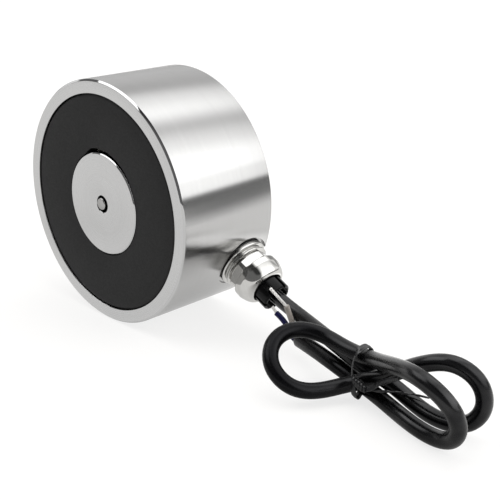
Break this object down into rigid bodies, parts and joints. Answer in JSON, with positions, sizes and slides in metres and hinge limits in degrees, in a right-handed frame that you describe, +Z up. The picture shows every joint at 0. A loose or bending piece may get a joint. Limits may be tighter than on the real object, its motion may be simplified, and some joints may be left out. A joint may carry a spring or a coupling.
{
  "type": "holding electromagnet",
  "caption": "Round pot holding electromagnet with a flat pole face set in black resin, a side cable gland and a tied-up supply cable with bare core ends.",
  "frame": {"origin": "on the floor under the middle of the pot, halfway along its axis", "axes": "+Y along the pot axis from the holding face to the mounting face, +Z up, cable gland on the +X side"},
  "size_m": [0.219, 0.0505, 0.1],
  "materials": {
    "turned_steel": "fine turned satin",
    "pin_steel": "satin",
    "black_resin": "matte",
    "bobbin_nylon": "plain",
    "enamelled_copper": "enamelled",
    "yellow_tape": "plain",
    "insulating_card": "plain",
    "brown_insulation": "satin",
    "blue_insulation": "satin",
    "splice_sleeve": "plain",
    "black_rubber": "matte",
    "polished_nickel": "polished",
    "black_nylon": "satin",
    "seal_rubber": "matte",
    "black_pvc": "satin",
    "tinned_copper": "tinned"
  },
  "bodies": {
    "root": {"housing": "turned_steel", "pole_core": "turned_steel", "centre_pin": "pin_steel", "potting_ring": "black_resin", "coil_bobbin": "bobbin_nylon", "coil_winding": "enamelled_copper", "coil_tape": "yellow_tape", "insulating_disc": "insulating_card", "coil_lead_brown": "brown_insulation", "coil_lead_blue": "blue_insulation", "splice_sleeve_brown": "splice_sleeve", "splice_sleeve_blue": "splice_sleeve", "inner_core_brown": "brown_insulation", "inner_core_blue": "blue_insulation", "gland_gasket": "black_rubber", "gland_body": "polished_nickel", "gland_dome_nut": "polished_nickel", "gland_claw": "black_nylon", "gland_seal": "seal_rubber", "cable": "black_pvc", "core_brown": "brown_insulation", "core_blue": "blue_insulation", "tip_brown": "tinned_copper", "tip_blue": "tinned_copper", "twist_tie": "black_nylon"}
  },
  "joints": []
}
